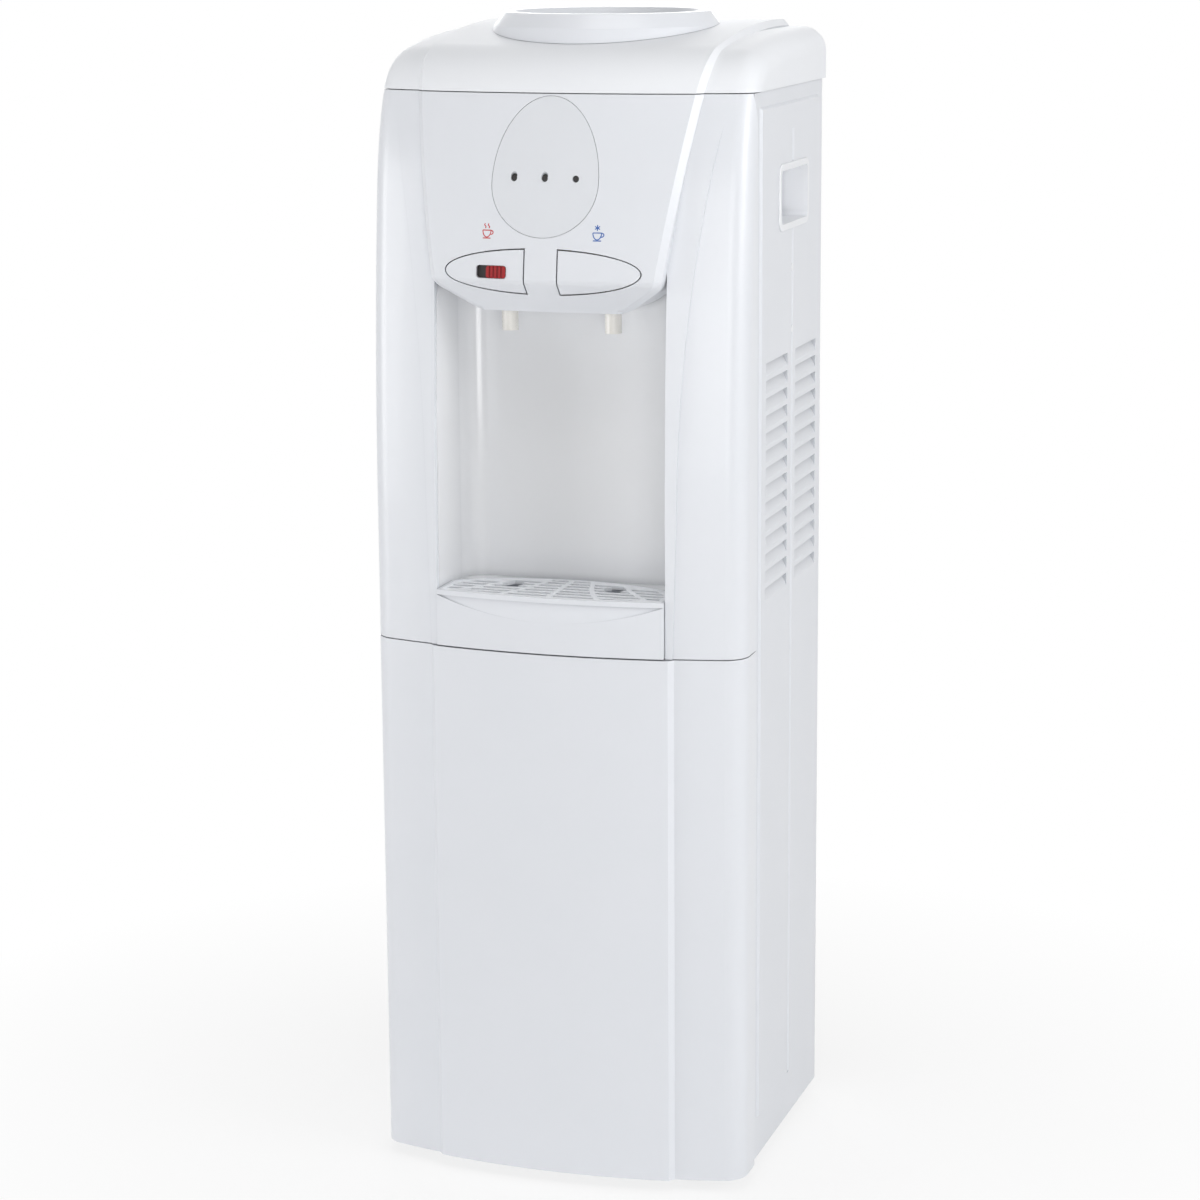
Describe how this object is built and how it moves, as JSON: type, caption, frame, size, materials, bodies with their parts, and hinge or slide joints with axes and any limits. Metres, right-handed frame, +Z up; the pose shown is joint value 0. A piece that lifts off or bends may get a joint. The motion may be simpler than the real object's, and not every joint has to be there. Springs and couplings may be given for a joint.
{
  "type": "water dispenser",
  "caption": "Free-standing bottled-water dispenser with a bowed front, push buttons over hot and cold taps, a drip tray, louvred sides, a bottle collar and a condenser behind.",
  "frame": {"origin": "on the floor under the middle of the bounding box", "axes": "+X to the right of someone facing the front, -Y out of the front, +Z up"},
  "size_m": [0.31, 0.3067, 0.938],
  "materials": {
    "abs_white": "gloss",
    "indicator_white": "satin",
    "bay_white": "gloss",
    "tap_cream": "gloss",
    "sheet_white": "satin",
    "grip_white": "matte",
    "lock_red": "satin",
    "switch_green": "satin",
    "lamp_dark": "gloss",
    "board_green": "satin",
    "galvanised": "satin",
    "stainless": "satin",
    "foam": "matte",
    "baffle_plastic": "satin",
    "hose_silicone": "satin",
    "cap_plastic": "matte",
    "black_rubber": "matte",
    "copper": "satin",
    "black_enamel": "satin",
    "black_plastic": "matte"
  },
  "bodies": {
    "cabinet": {"base_pan": "galvanised", "bay_liner": "bay_white", "button_rod": "stainless", "capillary_tube": "copper", "cold_hose": "hose_silicone", "cold_stem_spring": "stainless", "cold_tank": "stainless", "cold_tap": "tap_cream", "compressor": "black_enamel", "compressor_grommets": "black_rubber", "condenser_clips": "black_plastic", "condenser_tube": "black_enamel", "condenser_wires": "black_enamel", "cord_gland": "black_rubber", "discharge_line": "copper", "drain_pipe": "hose_silicone", "evaporator_coil": "copper", "feed_pipe": "hose_silicone", "feet": "black_rubber", "filter_drier": "copper", "hot_hose": "hose_silicone", "hot_stem_spring": "stainless", "hot_tank": "stainless", "hot_tank_jacket": "foam", "hot_tank_strap": "galvanised", "hot_tap": "tap_cream", "indicator_board": "board_green", "indicator_lenses": "lamp_dark", "indicator_panel": "indicator_white", "left_handle_cup": "grip_white", "left_side_panel": "sheet_white", "lower_front_panel": "abs_white", "rear_panel": "galvanised", "rear_screws": "galvanised", "right_handle_cup": "grip_white", "right_side_panel": "sheet_white", "side_plugs": "grip_white", "suction_line": "copper", "switch_plate": "black_plastic", "tank_baffle": "baffle_plastic", "tank_foam": "foam", "tank_shelf": "galvanised", "terminal_cover": "black_plastic", "top_cover": "abs_white", "upper_front_panel": "abs_white"},
    "hot_button": {"hot_button": "abs_white"},
    "cold_button": {"cold_button": "abs_white"},
    "child_lock": {"child_lock_slider": "lock_red"},
    "hot_valve": {"hot_valve_stem": "stainless"},
    "cold_valve": {"cold_valve_stem": "stainless"},
    "drip_tray": {"drip_tray": "abs_white"},
    "drip_grille": {"drip_grille": "abs_white"},
    "collar": {"bottle_collar": "abs_white"},
    "heating_switch": {"heating_switch": "lock_red"},
    "cooling_switch": {"cooling_switch": "switch_green"},
    "drain_cap": {"drain_cap": "cap_plastic"}
  },
  "joints": [
    {"name": "hot_button_press", "type": "hinge", "parent": "cabinet", "child": "hot_button", "pos_m": [0, -0.1375, 0.769], "axis": [1, 0, 0], "range_deg": [0, 5], "stiffness_Nm_per_rad": 0.25, "springref_deg": -5.73},
    {"name": "cold_button_press", "type": "hinge", "parent": "cabinet", "child": "cold_button", "pos_m": [0, -0.1375, 0.769], "axis": [1, 0, 0], "range_deg": [0, 5], "stiffness_Nm_per_rad": 0.25, "springref_deg": -5.73},
    {"name": "hot_valve_slide", "type": "slide", "parent": "cabinet", "child": "hot_valve", "axis": [0, 1, 0], "range_m": [0, 0.0031], "deforming": ["hot_stem_spring"]},
    {"name": "cold_valve_slide", "type": "slide", "parent": "cabinet", "child": "cold_valve", "axis": [0, 1, 0], "range_m": [0, 0.0031], "deforming": ["cold_stem_spring"]},
    {"name": "child_lock_slide", "type": "slide", "parent": "hot_button", "child": "child_lock", "axis": [-0.9975, 0.071, 0], "range_m": [0, 0.008]},
    {"name": "drip_tray_slide", "type": "slide", "parent": "cabinet", "child": "drip_tray", "axis": [0, -1, 0], "range_m": [0, 0.12]},
    {"name": "drip_grille_lift", "type": "slide", "parent": "drip_tray", "child": "drip_grille", "axis": [0, 0, 1], "range_m": [0, 0.06]},
    {"name": "collar_lift", "type": "slide", "parent": "cabinet", "child": "collar", "axis": [0, 0, 1], "range_m": [0, 0.08]},
    {"name": "heating_switch_tilt", "type": "hinge", "parent": "cabinet", "child": "heating_switch", "pos_m": [0.06, 0.1215, 0.838], "axis": [-1, 0, 0], "range_deg": [0, 16]},
    {"name": "cooling_switch_tilt", "type": "hinge", "parent": "cabinet", "child": "cooling_switch", "pos_m": [0.084, 0.1215, 0.838], "axis": [-1, 0, 0], "range_deg": [0, 16]},
    {"name": "drain_cap_turn", "type": "hinge", "parent": "cabinet", "child": "drain_cap", "pos_m": [0, 0.1385, 0.268], "axis": [0, 1, 0], "continuous": true}
  ],
  "couplings": [
    {"joint": "hot_valve_slide", "follows": "hot_button_press", "m_per_rad": 0.0345},
    {"joint": "cold_valve_slide", "follows": "cold_button_press", "m_per_rad": 0.0345}
  ]
}
